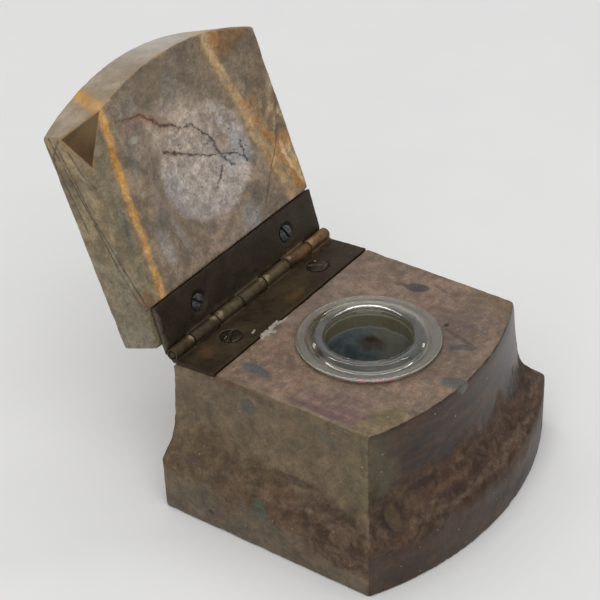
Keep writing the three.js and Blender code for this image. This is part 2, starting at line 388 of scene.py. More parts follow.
    def off_lines(self, lines, source=None):
        """Distance on the XY plane from the nearest of several broken lines."""
        nearest = None
        for points in lines:
            for start, end in zip(points, points[1:]):
                off = self.far_from(start, end, source)
                nearest = off if nearest is None else self.math("MINIMUM", nearest, off)
        return nearest

    def bump(self, height, distance_mm, strength=1.0):
        sockets = {"Strength": strength, "Distance": distance_mm * MM, "Height": height}
        return self.node("Bump", sockets).outputs[0]

    def set(self, **sockets):
        """Sets the surface's sockets and gives the finished material."""
        for name, value in sockets.items():
            if isinstance(value, tuple) and len(value) == 3:
                value = (*value, 1)
            self.put(self.surface.inputs[name.replace("_", " ")], value)
        return self.material


def tone(red, green, blue, light=1.0):
    """Linear colour that shows as these 0-255 values in light of the given strength."""
    shown = [((v / 255 + 0.055) / 1.055) ** 2.4 for v in (red, green, blue)]
    return tuple(max(v - 0.022 * light, 0.15 * v) / (0.92 * light) for v in shown)


def mottled(look, color, shift, strength=1.0):
    """Adds middle-sized clouds, fine grain, dark pin-holes and pale specks to a stone colour."""
    place = look.stretched((1, 1, 1), shift=shift)
    broad = look.noise(6.5, 4, 0.6, 0.6, source=place)
    broad = look.span(broad, 0.37, 0.63, 1 - 0.13 * strength, 1 + 0.12 * strength)
    coarse = look.noise(2.2, 6, 0.7, 0.5, source=place)
    coarse = look.span(coarse, 0.36, 0.64, 1 - 0.20 * strength, 1 + 0.19 * strength)
    fine = look.noise(0.6, 3, 0.6, source=place)
    fine = look.span(fine, 0.3, 0.7, 1 - 0.14 * strength, 1 + 0.13 * strength)
    shade = look.product(broad, coarse, fine)
    color = look.mix(1.0, color, shade, "MULTIPLY")
    holes = look.span(look.cells(2.9, source=place), 0.12, 0.05)
    rare = look.span(look.noise(7, 2, source=place), 0.48, 0.58)
    holes = look.product(holes, rare, 0.75)
    color = look.mix(holes, color, (0.022, 0.016, 0.012))
    specks = look.span(look.cells(3.7, source=look.stretched((1, 1, 1), shift=(9, 4, 7))), 0.075, 0.035)
    return look.paint(color, tone(170, 154, 128), specks, 0.6)


def base_top(look, clouds):
    """Top face: pinkish brown with purple streaks and ochre corners."""
    color = look.mix(clouds, tone(131, 110, 94), tone(112, 96, 83))
    streak_place = look.stretched((0.5, 1.7, 1), (0, 0, 0.95), source=look.warped)
    streaks = look.span(look.noise(4.2, 5, 0.62, source=streak_place), 0.50, 0.68)
    color = look.paint(color, tone(106, 85, 78), streaks, 0.6)
    pale_place = look.stretched((0.8, 1.3, 1), (0, 0, 0.7), (4, 2, 0), source=look.warped)
    pale = look.span(look.noise(2.8, 6, 0.72, source=pale_place), 0.52, 0.74)
    color = look.paint(color, tone(152, 133, 116), pale, 0.65)
    rust_place = look.stretched((1, 1, 1), shift=(3, 8, 2), source=look.warped)
    rust = look.math("ABSOLUTE", look.math("SUBTRACT", look.noise(6, 4, source=rust_place), 0.5))
    rust = look.product(look.span(rust, 0.03, 0.006), look.span(look.noise(9, 2), 0.45, 0.6))
    color = look.paint(color, tone(122, 86, 66), rust, 0.4)
    purple = look.spot((-26, -5, 39), (3.6, 11, 3), 0.12, look.warped, soft=0.7)
    purple = look.product(purple, look.span(look.noise(2.4, 5, 0.65, source=streak_place), 0.42, 0.58))
    color = look.paint(color, tone(108, 80, 80), purple, 0.7)
    corners = (
        ((-27, -19, 38), (7.5, 5.0, 5), 0, (115, 101, 73), 0.85),
        ((29.5, -17, 38), (5, 6, 5), 0, (122, 103, 76), 0.6),
        ((10, 21, 39), (16, 4, 2), 0, (116, 103, 92), 0.5),
        ((12, -14, 39), (15, 7, 3), 0, (100, 86, 78), 0.6),
    )
    return look.spots(color, corners, look.warped, 0.6, TOP_LIGHT)


def base_walls(look, clouds, front):
    """Left wall: olive brown. Front wall: darker, and banded along its length."""
    wall = look.mix(clouds, tone(95, 82, 64, SIDE_LIGHT), tone(81, 70, 56, SIDE_LIGHT))
    band_place = look.stretched((0.16, 0.5, 1), (0, 0.24, 0), source=look.warped)
    banding = look.span(look.noise(2.6, 6, 0.65, source=band_place), 0.36, 0.64)
    face = look.mix(banding, tone(50, 35, 22, FRONT_LIGHT), tone(73, 55, 38, FRONT_LIGHT))
    wall = look.mix(front, wall, face)
    corner = look.spot((-32, -20, 29), (6, 8, 12), source=look.warped, soft=0.7)
    return look.paint(wall, tone(80, 74, 55, SIDE_LIGHT), corner, 0.55)


def base_crust(look, wall, clouds, front, level):
    """Rough reddish crust in the cove, and the foot below it. Also gives where the crust is."""
    tilt = look.product(look.span(look.y, 34, -24, 0, 6, smooth=False), look.math("SUBTRACT", 1, front))
    slope = look.math("ADD", level, tilt)
    crust = look.product(look.span(slope, 9, 15), look.span(slope, 27, 20))
    reach = look.blend(front, look.span(look.y, 30, -6, 0.35, 0.9), 0.85)
    patches = look.span(look.noise(3.4, 5, 0.62, 0.8, source=look.loose), 0.36, 0.64)
    crust_color = look.mix(patches, tone(59, 47, 38, CRUST_LIGHT), tone(89, 73, 60, CRUST_LIGHT))
    red = look.span(look.noise(7, 4, 0.6, source=look.warped), 0.45, 0.62)
    crust_color = look.paint(crust_color, tone(82, 63, 53, CRUST_LIGHT), red, 0.55)
    crust_color = look.paint(crust_color, (0, 0, 0), front, 0.13)
    wall = look.paint(wall, crust_color, crust, reach)
    plinth = look.span(slope, 13, 8)
    foot = look.mix(clouds, tone(84, 74, 63, SIDE_LIGHT), tone(68, 60, 51, SIDE_LIGHT))
    front_foot = look.mix(clouds, tone(78, 64, 52, FRONT_LIGHT), tone(62, 50, 40, FRONT_LIGHT))
    foot = look.mix(front, foot, front_foot)
    return look.paint(wall, foot, plinth, 0.6), crust


def base_spots(look, color):
    """Blue-grey and purple ovals on the top, green and plum ones on the left wall, smears in the crust."""
    top_spots = (
        ((-25.1, 17.0, 39), (1.5, 4.4, 2), -0.12, (90, 90, 90), 0.95),
        ((23.8, 3.6, 39), (1.8, 2.7, 2), 0.23, (68, 64, 66), 0.9),
        ((23.0, 7.2, 39), (0.7, 2.4, 2), 0.1, (92, 82, 78), 0.8),
        ((26.4, -1.5, 39), (0.6, 2.6, 2), -0.3, (92, 78, 74), 0.7),
        ((8.6, -18.6, 39), (1.2, 3.6, 2), 0.50, (80, 78, 73), 0.9),
        ((-3.9, -24.6, 38.8), (1.9, 3.9, 2.5), 0.33, (88, 87, 84), 0.9),
        ((11.9, -15.4, 39), (0.7, 5.2, 2), -0.25, (86, 70, 68), 0.8),
        ((17.0, -14.0, 39), (1.1, 4.6, 2), -0.1, (96, 82, 80), 0.6),
        ((19.5, -7.5, 39), (0.9, 3.8, 2), 0.1, (100, 86, 82), 0.6),
        ((-29.5, -6.0, 39), (1.2, 8.0, 2), 0.03, (98, 74, 74), 0.65),
        ((-26.4, -10.0, 39), (1.3, 6.0, 2), 0.2, (106, 82, 80), 0.55),
        ((-25.4, -0.5, 39), (1.0, 4.4, 2), 0.10, (106, 84, 82), 0.5),
    )
    side_spots = (
        ((-32.2, 14, 33.9), (2, 2.3, 2.2), 0, (70, 66, 58), 0.95),
        ((-32.4, 10, 37.2), (2, 3.4, 1.0), 0, (72, 58, 46), 0.6),
        ((-32.6, -8, 34), (2, 2.0, 1.5), 0, (70, 75, 65), 0.4),
        ((-39.9, 6.2, 11.7), (2, 2.0, 3.1), 0, (70, 75, 65), 0.85),
        ((-37.7, 26.9, 16), (2, 3.2, 1.2), 0, (74, 60, 54), 0.6),
        ((-39.9, 20.6, 4.7), (1, 0.9, 0.7), 0, (48, 38, 30), 0.8),
    )
    color = look.spots(color, top_spots, look.nudged, 0.22, TOP_LIGHT)
    color = look.spots(color, side_spots, look.nudged, 0.22, SIDE_LIGHT)

    # dark smears and a dark ring, with an ochre oval in the ring, and the reddish upper edge
    smears = (
        ((-34.6, 0, 20), (2, 6.5, 0.8), 0, (50, 40, 33), 0.5),
        ((-35.5, -13, 17.4), (2, 5.0, 1.0), 0, (50, 40, 33), 0.5),
        ((-36.5, 24, 20), (2, 5.0, 1.2), 0, (50, 40, 33), 0.4),
        ((-30.8, -24.8, 17.5), (3.0, 3.0, 5.6), 0, (46, 35, 27), 0.9),
        ((-13.9, -30.5, 16.5), (5.0, 3, 1.4), 0, (50, 40, 33), 0.6),
        ((-19.5, -25.8, 21.3), (4.6, 3, 0.9), 0, (50, 40, 33), 0.6),
        ((-4.0, -33.0, 17.5), (6.0, 3, 1.2), 0, (50, 40, 33), 0.5),
    )
    color = look.spots(color, smears, look.loose, 0.35, CRUST_LIGHT)
    edge_stain = (((-32.2, 22, 38.1), (2, 9.0, 0.9), 0, (84, 64, 52), 0.6),)
    color = look.spots(color, edge_stain, look.loose, 0.35, SIDE_LIGHT)
    oval = (((-30.4, -24.6, 17.4), (1.8, 3.0, 4.0), 0, (86, 74, 57), 0.7),)
    return look.spots(color, oval, look.loose, 0.35, FRONT_LIGHT)


def base_stone():
    look = Look("base_stone")
    look.bend_places(6, 6)
    side = look.span(look.nz, 0.92, 0.7)
    front = look.product(look.span(look.ny, -0.25, -0.55), side)
    clouds = look.span(look.noise(12, 5, 0.62, source=look.warped), 0.35, 0.65)
    level = look.math("ADD", look.z, look.sway(9, 5, 0.65, 20))
    wall = base_walls(look, clouds, front)
    wall, crust = base_crust(look, wall, clouds, front, level)
    color = look.mix(side, base_top(look, clouds), wall)
    color = base_spots(look, color)
    color = mottled(look, color, (0, 0, 0), 1.1)
    pit = look.spot((14.5, -10.5, 39), (0.8, 0.6, 1.5), 0.4, soft=0.3)
    color = look.mix(pit, color, (0.01, 0.01, 0.01))
    edge = look.product(look.span(look.nz, 0.45, 0.7), look.span(look.nz, 0.97, 0.85))
    edge = look.product(edge, look.span(look.noise(3, 4, 0.6), 0.4, 0.65))
    color = look.paint(color, tone(140, 126, 100), edge, look.span(look.z, 37.6, 38.4, 0, 0.45))

    rough = look.span(look.noise(7, 5, 0.6), 0.3, 0.7, 0.38, 0.54)
    polished = look.product(look.span(level, 21, 26), front)
    rough = look.blend(polished, rough, 0.33)
    crusty = look.product(crust, side)
    rough = look.blend(crusty, rough, 0.8)
    fine = look.product(look.noise(0.5, 4, 0.6), 0.15)
    height = look.blend(crusty, fine, look.noise(1.6, 5, 0.65))
    return look.set(Base_Color=color, Roughness=rough, Normal=look.bump(height, 0.3, 0.5))


def lid_underside(look, clouds):
    """Grey brown, streaked along its length, darker and bluer towards the free edge."""
    color = look.mix(clouds, tone(124, 109, 92, LID_LIGHT), tone(98, 87, 73, LID_LIGHT))
    flow = look.stretched((1.3, 0.32, 1), (0, 0, 0.12), source=look.warped)
    streaks = look.span(look.noise(2.6, 6, 0.66, source=flow), 0.44, 0.70)
    color = look.paint(color, tone(132, 117, 102, LID_LIGHT), streaks, 0.6)
    dusk = look.product(look.span(look.y, -6, -20), look.span(look.x, -24, -14))
    color = look.paint(color, tone(98, 87, 73, LID_LIGHT), dusk, 0.6)
    blue_place = look.stretched((1, 1, 1), shift=(7, 1, 3), source=look.warped)
    blue = look.span(look.noise(3.0, 5, 0.65, source=blue_place), 0.52, 0.68)
    color = look.paint(color, tone(106, 100, 90, LID_LIGHT), blue, look.span(look.y, 2, -10), 0.45)
    pink = look.product(look.span(look.y, 14, 20), look.spot((3, 22, 40), (10, 12, 5), soft=0.6))
    pink = look.product(pink, look.span(look.noise(1.6, 5, 0.62, source=flow), 0.36, 0.62))
    color = look.paint(color, tone(132, 117, 109, LID_LIGHT), pink, 0.6)
    strip = look.span(look.split(look.nudged)[0], -26.4, -28.4)
    return look.paint(color, tone(114, 105, 84, LID_LIGHT), strip, 0.7)


def lid_sides(look, color, clouds, front):
    """Olive left side, and pale front strip with a painted highlight towards its right end."""
    side = look.mix(clouds, tone(118, 104, 80, SIDE_LIGHT), tone(91, 80, 60, SIDE_LIGHT))
    green_place = look.stretched((1, 0.5, 1), source=look.warped)
    green = look.span(look.noise(4.5, 5, 0.65, source=green_place), 0.50, 0.68)
    side = look.paint(side, tone(118, 113, 96, SIDE_LIGHT), green, 0.6)
    low = look.span(look.y, 8, 30)
    side = look.paint(side, tone(103, 98, 86, SIDE_LIGHT), low, 0.5)
    upper = look.spot((-33.5, -19, 47), (3, 6.5, 7), source=look.warped, soft=0.6)
    side = look.paint(side, tone(142, 122, 92, SIDE_LIGHT), upper, 0.7)
    left = look.span(look.nx, -0.6, -0.85)
    color = look.mix(left, color, side)

    strip_color = look.mix(clouds, tone(164, 148, 128), tone(142, 127, 107))
    # the front strip turns lighter towards the right: a painted highlight
    strip_highlight = look.span(look.x, -14, 12)
    strip_color = look.paint(strip_color, tone(190, 182, 172), strip_highlight, 0.7)
    return look.mix(front, color, strip_color)


def lid_dish(look, color):
    """Worn, lilac-grey dish. Also gives where it is worn."""
    nearby = look.spot((2.2, 2.1, 41), (15.3, 13.8, 9), 0, look.nudged, soft=0.08)
    frayed = look.span(look.noise(2.4, 6, 0.75), 0.40, 0.58)
    frayed = look.blend(look.span(look.y, 3, -9, 0.3, 1.0), 1, frayed)
    facing_down = look.span(look.nz, -0.5, -0.8)
    sandy = look.product(look.spot((-2, -10, 41), (13, 6.5, 6), 0.3, look.warped, soft=0.5), facing_down)
    color = look.paint(color, tone(162, 146, 129, LID_LIGHT), sandy, 0.75)
    worn = look.product(nearby, frayed, facing_down)
    worn_clouds = look.span(look.noise(4, 6, 0.65, source=look.warped), 0.35, 0.65)
    worn_color = look.mix(worn_clouds, tone(144, 135, 128, DISH_LIGHT), tone(166, 157, 150, DISH_LIGHT))
    dish_spots = (
        ((-1, -5, 41), (9, 8, 6), 0, (166, 152, 139), 0.65),
        ((-10.5, 6, 41), (4, 8, 6), 0.2, (150, 143, 144), 0.6),
        ((12.6, 4, 41), (3.6, 8, 6), -0.2, (140, 143, 147), 0.8),
        ((0, 15, 41), (9, 3, 6), 0.0, (148, 137, 133), 0.6),
        ((13.0, 9.5, 41), (2.6, 1.8, 4), 0.3, (172, 156, 144), 0.7),
        ((10.8, 0.6, 41), (2.4, 2.8, 3), 0, (142, 121, 103), 0.75),
    )
    worn_color = look.spots(worn_color, dish_spots, look.warped, 0.5, DISH_LIGHT)
    return look.paint(color, worn_color, worn, 0.85), worn


def lid_patches(look, color):
    """Ovals and tinted patches on the underside."""
    patches = (
        ((-20.8, -9.3, 39.6), (1.7, 4.2, 2), 0.1, (104, 102, 95), 0.55),
        ((-30.5, 3.8, 39.6), (0.8, 4.6, 2), 0.1, (86, 86, 84), 0.6),
        ((-20.7, 13.5, 39.6), (2.0, 5.4, 2), -0.15, (128, 124, 120), 0.6),
        ((-17.6, 6.6, 39.6), (2.8, 2.0, 2), 0.3, (100, 96, 90), 0.6),
        ((-14.6, 13.5, 39.6), (1.2, 4.4, 2), -0.2, (138, 130, 124), 0.5),
        ((0.5, 19.2, 39.9), (4.5, 0.8, 2), -0.35, (92, 82, 72), 0.6),
        ((-9.0, 17.5, 39.9), (3.5, 0.8, 2), 0.5, (100, 90, 80), 0.5),
        ((-18.6, -13.1, 39.6), (2.0, 0.8, 2), 0.15, (150, 152, 138), 0.6),
        ((-17.5, -20.3, 39.6), (4.0, 2.6, 2), 0.2, (116, 108, 98), 0.55),
        ((-18.0, -16.1, 39.6), (3.4, 1.2, 2), 0.1, (112, 90, 86), 0.6),
        ((-2.0, -19.0, 39.6), (3.0, 5.0, 2), 0.2, (104, 100, 93), 0.5),
        ((9.0, 20.0, 39.6), (3.4, 4.6, 2), -0.5, (120, 122, 118), 0.55),
        ((22.5, -21.5, 40.5), (9.5, 3.2, 3), -0.12, (113, 86, 56), 0.8),
        ((17.0, -23.6, 40.0), (2.0, 2.4, 3), 0.0, (170, 120, 62), 0.7),
        ((27.0, -9.0, 39.6), (5.0, 10, 2), 0.1, (100, 86, 70), 0.65),
        ((25.5, 0.5, 39.6), (3.4, 4.0, 2), 0.1, (100, 82, 60), 0.6),
        ((-9.0, -13.2, 39.8), (7.5, 1.7, 3), 0.57, (128, 96, 76), 0.5),
        ((-5.0, -14.6, 39.8), (3.5, 1.4, 3), 0.5, (136, 122, 110), 0.5),
        ((12.8, 15.6, 39.8), (3.6, 2.4, 3), 0.3, (94, 86, 77), 0.55),
        ((21.8, -4.6, 39.6), (2.6, 1.6, 2), -0.1, (146, 110, 68), 0.5),
        ((21.3, 5.6, 39.6), (2.0, 3.4, 2), 0.1, (136, 104, 68), 0.7),
        ((28.3, 8.8, 39.6), (3.2, 2.6, 2), 0.2, (158, 112, 64), 0.8),
        ((29.4, 18.3, 39.6), (2.6, 4.6, 2), 0.1, (166, 122, 70), 0.9),
        ((27.3, 14.4, 39.6), (1.1, 3.6, 2), 0.1, (170, 148, 118), 0.8),
        ((24.2, 11.0, 39.6), (1.6, 2.8, 2), 0.0, (136, 104, 62), 0.75),
        ((-32.0, 21.5, 40), (2.0, 2.4, 2), 0.0, (104, 78, 60), 0.7),
    )
    return look.spots(color, patches, look.nudged, 0.4, LID_LIGHT)


def lid_network(look, color):
    """Ochre clouds and a loose cream network near the right edge."""
    rise = look.math("SUBTRACT", look.z, LID_UNDERSIDE)
    net_area = look.spot((27.5, 8, 40), (7.0, 15, 4), 0.1, look.warped, soft=0.5)
    ochre_place = look.stretched((1.2, 0.7, 1), shift=(2, 5, 0), source=look.warped)
    ochre = look.span(look.noise(4.2, 5, 0.62, source=ochre_place), 0.44, 0.62)
    color = look.paint(color, tone(122, 98, 70, LID_LIGHT), net_area, ochre, 0.6)
    net_place = look.stretched((1.4, 0.7, 1), (0, 0, 0.3), source=look.warped)
    net = look.span(look.cells(7.0, "DISTANCE_TO_EDGE", source=net_place), 0.16, 0.03)
    broken_net = look.product(net, look.span(look.noise(2.6, 4, 0.6), 0.42, 0.58))
    color = look.paint(color, tone(164, 140, 104, LID_LIGHT), broken_net, net_area, 0.7)

    # stronger lines through the network
    for points, width, shade, amount in (
        (((19.0, -5.5), (21.6, 1.3), (24.3, 4.9), (25.9, 9.6), (26.6, 12.9), (29.4, 20.5)), 1.9,
         tone(148, 104, 56, LID_LIGHT), 0.85),
        (((19.2, -4), (19.9, 4.5), (21.1, 10), (21.5, 15)), 1.3, tone(132, 108, 80, LID_LIGHT), 0.6),
        (((27.2, 9.0), (28.4, 14.5), (30.5, 20.5)), 0.9, tone(180, 160, 126, LID_LIGHT), 0.8),
    ):
        off = look.off_lines((points,), look.warped)
        line = look.product(look.span(off, width, width * 0.2), look.span(rise, 1.5, 0.5))
        line = look.product(line, look.span(look.noise(1.8, 5, 0.65), 0.34, 0.52, 0.35, 1))
        color = look.paint(color, shade, line, amount)
    return color


def lid_veins(look, color, front):
    """Veins: sheets through the stone, leaning with height."""
    rise = look.math("SUBTRACT", look.z, LID_UNDERSIDE)
    ripple = look.sway(3.6, 5, 0.62, 2.6)
    lean = look.math("ADD", look.math("SUBTRACT", look.x, look.product(rise, 0.45)), ripple)
    along = look.span(look.y, -28, 36, smooth=False)
    gap = look.span(look.noise(2.6, 6, 0.7, source=look.warped), 0.30, 0.52, 0.5, 1.0)
    tint = look.span(look.noise(4.2, 5, 0.62), 0.38, 0.66)
    wider = look.math("ADD", 1, look.product(front, 0.7))
    veins = (       # (share of the length, x) points, width, strength, and three shades
        (
            ((0, -25.0), (0.15, -25.6), (0.35, -26.7), (0.65, -27.0), (1, -28.8)),
            1.25,
            0.9,
            tone(172, 122, 56, LID_LIGHT),
            tone(176, 140, 94, LID_LIGHT),
            tone(128, 106, 78, LID_LIGHT),
        ),
        (
            ((0, 14.8), (0.10, 14.3), (0.24, 16.4), (0.38, 19.0), (0.47, 19.4), (0.60, 22.6), (1, 26)),
            1.7,
            0.75,
            tone(156, 126, 86, LID_LIGHT),
            tone(168, 147, 114, LID_LIGHT),
            tone(124, 104, 78, LID_LIGHT),
        ),
    )
    for points, width, strength, core, second, halo in veins:
        scaled = [(share, (x_there + VEIN_REACH) / (2 * VEIN_REACH)) for share, x_there in points]
        centre = look.span(look.curve(along, scaled), 0, 1, -VEIN_REACH, VEIN_REACH, smooth=False)
        off = look.math("ABSOLUTE", look.math("SUBTRACT", lean, centre))
        off = look.math("DIVIDE", off, wider)
        color = look.paint(color, halo, look.span(off, width * 2.6, width * 0.7), 0.45)
        inside = look.product(look.span(off, width * 1.3, width * 0.35), gap)
        color = look.paint(color, look.mix(tint, core, second), inside, strength)
    off = look.off_lines((((31.5, -7), (27.4, 0), (19.7, 4)),))
    off = look.math("ADD", off, look.product(ripple, 0.5))
    below = look.span(rise, 1, 0.5)
    cream = look.product(look.span(off, 1.2, 0.1), look.product(below, 0.7))
    color = look.mix(cream, color, tone(152, 130, 102, LID_LIGHT))
    edge_rust = look.product(look.span(look.ny, -0.12, -0.35), look.span(rise, 1.0, 0.2))
    edge_rust = look.product(edge_rust, look.span(look.noise(3, 4, 0.6), 0.38, 0.6))
    return look.paint(color, tone(134, 108, 80, LID_LIGHT), edge_rust, 0.55)


def dish_cracks(look, color, worn):
    """Pits and cracks in the dish. Also gives how deep they go."""
    rise = look.math("SUBTRACT", look.z, LID_UNDERSIDE)
    grain = look.push(0.8, 3, 0.6)
    rubbed = look.bent(grain, 0.9)
    pits = look.span(look.cells(1.05, source=rubbed), 0.34, 0.16)
    many = look.span(look.noise(3.0, 4, 0.6, source=look.warped), 0.44, 0.60)
    many = look.product(many, look.span(look.noise(1.1, 2), 0.45, 0.55))
    pits = look.product(pits, many, worn)
    color = look.paint(color, tone(76, 64, 58, LID_LIGHT), pits, 0.75)
    jag = look.push(1.5, 6, 0.75)
    torn = look.bent(jag, 3.0)
    crack_lines = (
        (
            (-20, -18.5), (-14.3, -17.5), (-8, -11.8), (-4.4, -10.7), (-0.9, -8.0), (2.7, -7.4),
            (7.5, -1.7), (8.3, 3.2), (11.2, 7.3),
        ),
        ((-9.4, -5.8), (-1.4, -1.5), (6.8, 2.7)),
        ((8.0, 5.8), (5.9, 8.2), (3.2, 10.1)),
        ((14.8, 2.3), (14.9, 7.8)),
        ((8.3, 3.2), (12.4, 4.6), (15.0, 7.0)),
    )
    cracks = look.off_lines(crack_lines, torn)
    under = look.span(rise, 4, 3.6)
    stain = look.product(look.span(cracks, 0.9, 0.1), look.span(look.x, -1, -7))
    color = look.paint(color, tone(120, 80, 62, LID_LIGHT), stain, under, 0.6)
    uneven = look.math("ADD", cracks, look.span(look.noise(1.4, 5, 0.7), 0.38, 0.62, 0.0, 0.22))
    fissure = look.product(look.span(uneven, 0.34, 0.14), under)
    color = look.paint(color, (0.03, 0.024, 0.02), fissure, 0.8)
    shade_line = look.product(look.span(cracks, 0.8, 0.15), under)
    color = look.paint(color, tone(70, 58, 52, LID_LIGHT), shade_line, 0.22)
    far = look.off_lines((((31.5, -3), (26.1, 7.7), (15.5, 19.6)),), look.nudged)
    long_crack = look.product(look.span(far, 0.34, 0.08), under)
    color = look.paint(color, tone(70, 54, 42, LID_LIGHT), long_crack, 0.6)
    return color, look.math("ADD", look.product(fissure, 1.2), pits)


def side_hairlines(look, color):
    """Long dark hairlines down the left side."""
    jag = look.push(1.5, 6, 0.75)
    on_side = look.span(look.nx, -0.5, -0.8)
    wavy = look.bent(jag, 1.4, look.join(look.y, look.z, 0))
    hair_lines = (
        ((-19.5, 48.6), (-10, 47.0), (-1.8, 46.0), (12.5, 42.2), (22.5, 39.4)),
        ((-20.9, 50.2), (-10.8, 48.2), (4.7, 45.2), (14, 43.6), (22.5, 41.0)),
        ((-19, 51.6), (-8, 50.2), (3, 49.0)),
        ((-17.5, 45.6), (-12, 44.0), (-8, 41.0)),
        ((-20, 47.4), (-17, 50.4), (-12, 51.8)),
    )
    hairs = look.off_lines(hair_lines, wavy)
    thin = look.math("ADD", hairs, look.span(look.noise(1.8, 5, 0.7), 0.4, 0.7, 0.0, 0.2))
    lines = look.product(look.span(thin, 0.32, 0.12), on_side)
    halo = look.product(look.span(hairs, 1.0, 0.1), on_side)
    color = look.paint(color, tone(84, 76, 56, SIDE_LIGHT), halo, 0.22)
    return look.paint(color, tone(50, 45, 36, SIDE_LIGHT), lines, 0.75)


def chip_shades(look, color):
    """Brown fresh stone inside the broken corner, with painted shade low in the hollow and one pale fleck
    painted as a glint. Also gives where it is.
    """
    a, b, c = (Vector(p) for p in CHIP_POINTS)
    out = (b - a).cross(c - a).normalized()
    if out.dot(Vector(CHIP_CORNER) - a) < 0:
        out = -out
    inset = None
    for start, end, other in ((a, b, c), (b, c, a), (c, a, b)):
        inward = out.cross(end - start).normalized()
        if inward.dot(other - start) < 0:
            inward = -inward
        depth = look.vector("DOT_PRODUCT", look.vector("SUBTRACT", look.mm, tuple(start)), tuple(inward), 1)
        inset = depth if inset is None else look.math("MINIMUM", inset, depth)
    off_plane = look.vector("DOT_PRODUCT", look.vector("SUBTRACT", look.mm, tuple(a)), tuple(out), 1)
    near_plane = look.span(look.math("ABSOLUTE", look.math("ADD", off_plane, 0.9)), 1.5, 1.2)
    broken = look.product(look.span(inset, -0.25, 0.1), near_plane)
    fracture = look.mix(look.noise(1.6, 5, 0.65), tone(65, 51, 34, LID_LIGHT), tone(93, 76, 54, LID_LIGHT))
    upper_part = look.span(look.x, -32, -28)
    fracture = look.paint(fracture, tone(110, 93, 69, LID_LIGHT), upper_part, 0.5)
    # darker towards the lower part of the hollow with the lid open: painted shade
    chip_painted_shade = look.span(look.y, -19.5, -15.5)
    fracture = look.paint(fracture, tone(64, 48, 30, SIDE_LIGHT), chip_painted_shade, 0.7)
    color = look.mix(broken, color, fracture)
    chip_rim = look.product(
        look.span(look.math("ABSOLUTE", look.math("ADD", inset, 0.5)), 0.7, 0.2),
        look.span(off_plane, -1.5, -0.5),
    )
    chip_rim = look.product(chip_rim, look.span(look.noise(1.5, 4, 0.6), 0.4, 0.6))
    color = look.paint(color, tone(134, 104, 66, LID_LIGHT), chip_rim, 0.6)
    # a pale fleck in the fresh stone, painted in as a glint
    painted_glint = look.spot((-31.6, -19.4, 42.6), (0.5, 0.4, 1.0), 0.4, look.nudged)
    return look.paint(color, tone(190, 180, 160, LID_LIGHT), painted_glint, broken, 0.8), broken


def lid_stone():
    look = Look("lid_stone")
    look.bend_places(5, 5)
    front = look.span(look.ny, -0.6, -0.85)
    clouds = look.span(look.noise(8, 5, 0.62, source=look.warped), 0.34, 0.66)
    color = lid_sides(look, lid_underside(look, clouds), clouds, front)
    color, worn = lid_dish(look, color)
    color = lid_patches(look, color)
    color = lid_network(look, color)
    plain = lid_veins(look, color, front)
    color = mottled(look, plain, (5, 2, 8), 1.15)
    color = look.paint(color, plain, front, 0.55)
    color, hollows = dish_cracks(look, color, worn)
    color = side_hairlines(look, color)
    color, broken = chip_shades(look, color)

    rough = look.span(look.noise(6, 5, 0.6), 0.3, 0.7, 0.34, 0.5)
    rough = look.blend(worn, rough, 0.6)
    rough = look.blend(broken, rough, 0.9)
    height = look.blend(worn, look.product(look.noise(0.5, 4, 0.6), 0.12), look.noise(0.8, 5, 0.7))
    height = look.math("SUBTRACT", height, hollows)
    return look.set(Base_Color=color, Roughness=rough, Normal=look.bump(height, 0.2, 0.7))


def old_brass(name, dark, light, spots=()):
    """Patinated brass, with spots of other shades laid over it."""
    look = Look(name)
    look.bend_places(3, 4)
    clouds = look.span(look.noise(5, 6, 0.65, source=look.warped), 0.35, 0.68)
    color = look.mix(clouds, dark, light)
    color = look.spots(color, spots, look.warped, 0.6)
    grime = look.span(look.noise(1.3, 6, 0.7), 0.46, 0.72)
    color = look.paint(color, tuple(c * 0.4 for c in dark), grime, 0.5)
    rough = look.span(look.noise(2.5, 5, 0.6), 0.3, 0.7, 0.38, 0.6)
    scratches = look.noise(0.35, 3, 0.5, source=look.stretched((0.12, 1, 1), (0, 0, 0.3)))
    height = look.math("ADD", look.product(scratches, 0.4), look.noise(1.5, 5, 0.7))
    return look.set(
        Base_Color=color,
        Metallic=0.5,
        Roughness=rough,
        Specular_IOR_Level=0.25,
        Normal=look.bump(height, 0.08, 0.6),
    )


def screw_steel(name, light, dark):
    look = Look(name)
    clouds = look.span(look.noise(1.0, 5, 0.7), 0.35, 0.7)
    color = look.mix(clouds, dark, light)
    rough = look.span(look.noise(0.8, 4, 0.6), 0.3, 0.7, 0.22, 0.42)
    return look.set(
        Base_Color=color, Metallic=0.7, Roughness=rough, Normal=look.bump(look.noise(0.5, 4), 0.05, 0.5)
    )


